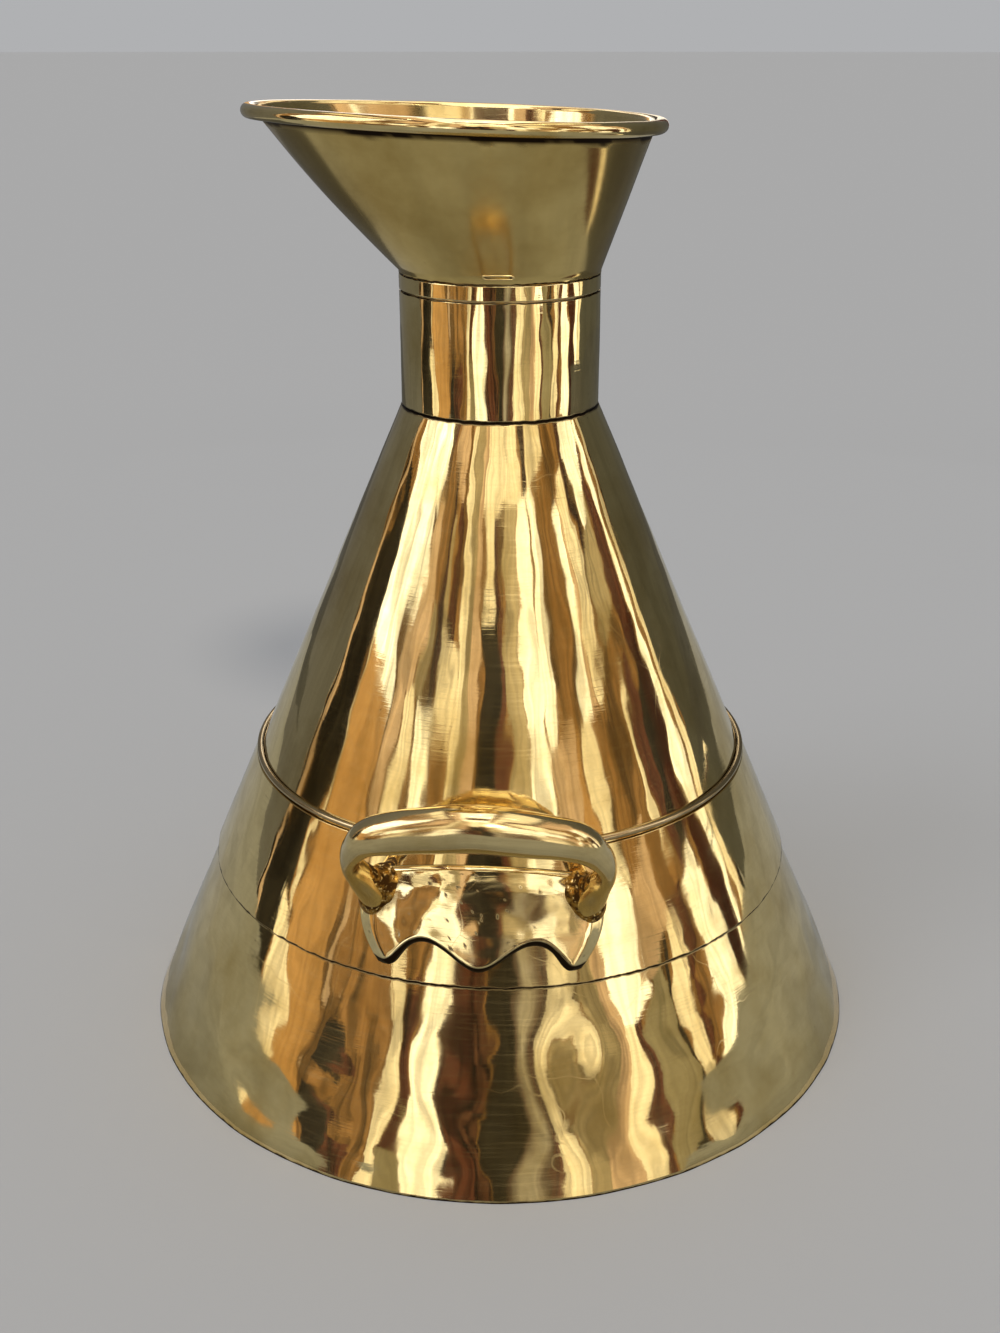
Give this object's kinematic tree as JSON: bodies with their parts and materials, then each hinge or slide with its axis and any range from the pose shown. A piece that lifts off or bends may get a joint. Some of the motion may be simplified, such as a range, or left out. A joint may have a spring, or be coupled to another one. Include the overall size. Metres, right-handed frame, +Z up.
{
  "type": "gallon measure",
  "caption": "Conical brass gallon measure with a belt round its waist, a straight neck, a wired pouring lip with a level slot, and two fixed bow handles on scalloped plates.",
  "frame": {"origin": "centre of the foot, on the table the measure stands on", "axes": "+Z up along the axis of the cone, handles at -Y (front) and +Y (rear), the lip pours towards -X"},
  "size_m": [0.2554, 0.2554, 0.3117],
  "materials": {
    "polished_brass": "polished",
    "cast_brass": "polished",
    "dull_brass": "satin",
    "iron_wire": "satin"
  },
  "bodies": {
    "root": {"body_cone": "polished_brass", "foot_ring": "dull_brass", "base_plate": "dull_brass", "belt": "polished_brass", "belt_bead": "polished_brass", "neck_tube": "dull_brass", "neck_sleeve": "polished_brass", "neck_top_ring": "polished_brass", "lip_funnel": "polished_brass", "rim_wire": "iron_wire", "level_slot_eyelet": "polished_brass", "front_handle_plate": "cast_brass", "front_handle_grip": "cast_brass", "rear_handle_plate": "cast_brass", "rear_handle_grip": "cast_brass"}
  },
  "joints": []
}
